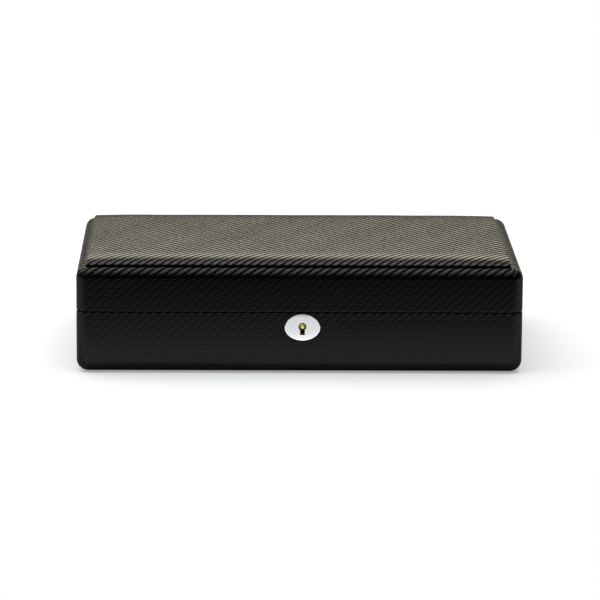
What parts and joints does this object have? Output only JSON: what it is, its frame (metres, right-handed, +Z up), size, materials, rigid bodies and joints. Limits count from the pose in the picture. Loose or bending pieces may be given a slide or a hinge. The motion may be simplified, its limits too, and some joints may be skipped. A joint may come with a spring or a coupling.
{
  "type": "watch box",
  "caption": "Rectangular leatherette-covered watch box with a padded hinged lid, a keyed box lock behind an oval keyhole plate, and lined compartments with watch pillows.",
  "frame": {"origin": "middle of the face that the box stands on", "axes": "+Z up, front with the keyhole towards -Y, +X to the right seen from the front"},
  "size_m": [0.3314, 0.2061, 0.0851],
  "materials": {
    "leatherette": "black embossed twill leatherette",
    "pad_leatherette": "black embossed twill leatherette, padded",
    "felt": "black felt",
    "lining": "black suede-like lining on card",
    "pillow": "black suede-like cushion",
    "foam": "soft foam",
    "card": "stiff grey card",
    "board": "fibreboard",
    "plate_metal": "bright polished plate",
    "brass": "plain brass",
    "fittings_metal": "plated steel"
  },
  "bodies": {
    "base": {"base_back_wall": "board", "base_floor": "board", "base_front_wall": "board", "base_left_wall": "board", "base_right_wall": "board", "base_wrap": "leatherette", "bottom_felt": "felt", "cross_divider_1": "lining", "cross_divider_2": "lining", "cross_divider_3": "lining", "cross_divider_4": "lining", "cross_divider_5": "lining", "escutcheon": "plate_metal", "floor_lining": "lining", "hinge_base_screws": "fittings_metal", "hinge_left_base_leaf": "fittings_metal", "hinge_left_pin": "fittings_metal", "hinge_right_base_leaf": "fittings_metal", "hinge_right_pin": "fittings_metal", "liner_back": "lining", "liner_front": "lining", "liner_left": "lining", "liner_right": "lining", "lock_cap": "fittings_metal", "lock_case": "fittings_metal", "lock_drill_pin": "brass", "lock_screws": "fittings_metal", "lock_spring": "fittings_metal", "long_divider": "lining", "watch_pillow_01": "pillow", "watch_pillow_02": "pillow", "watch_pillow_03": "pillow", "watch_pillow_04": "pillow", "watch_pillow_05": "pillow", "watch_pillow_06": "pillow", "watch_pillow_07": "pillow", "watch_pillow_08": "pillow", "watch_pillow_09": "pillow", "watch_pillow_10": "pillow", "watch_pillow_11": "pillow", "watch_pillow_12": "pillow"},
    "lid": {"hinge_left_lid_leaf": "fittings_metal", "hinge_lid_screws": "fittings_metal", "hinge_right_lid_leaf": "fittings_metal", "keeper": "fittings_metal", "keeper_screws": "fittings_metal", "lid_back_wall": "board", "lid_front_wall": "board", "lid_left_wall": "board", "lid_liner": "lining", "lid_lining": "lining", "lid_right_wall": "board", "lid_top_panel": "board", "lid_wrap": "leatherette", "pad_board": "card", "pad_cover": "pad_leatherette", "pad_foam": "foam"},
    "lock_bolt": {"lock_bolt": "fittings_metal"}
  },
  "joints": [
    {"name": "lid_hinge", "type": "hinge", "parent": "base", "child": "lid", "pos_m": [0, 0.1025, 0.0465], "axis": [-1, 0, 0], "range_deg": [0, 100]},
    {"name": "bolt_slide", "type": "slide", "parent": "base", "child": "lock_bolt", "axis": [1, 0, 0], "range_m": [0, 0.005]}
  ]
}
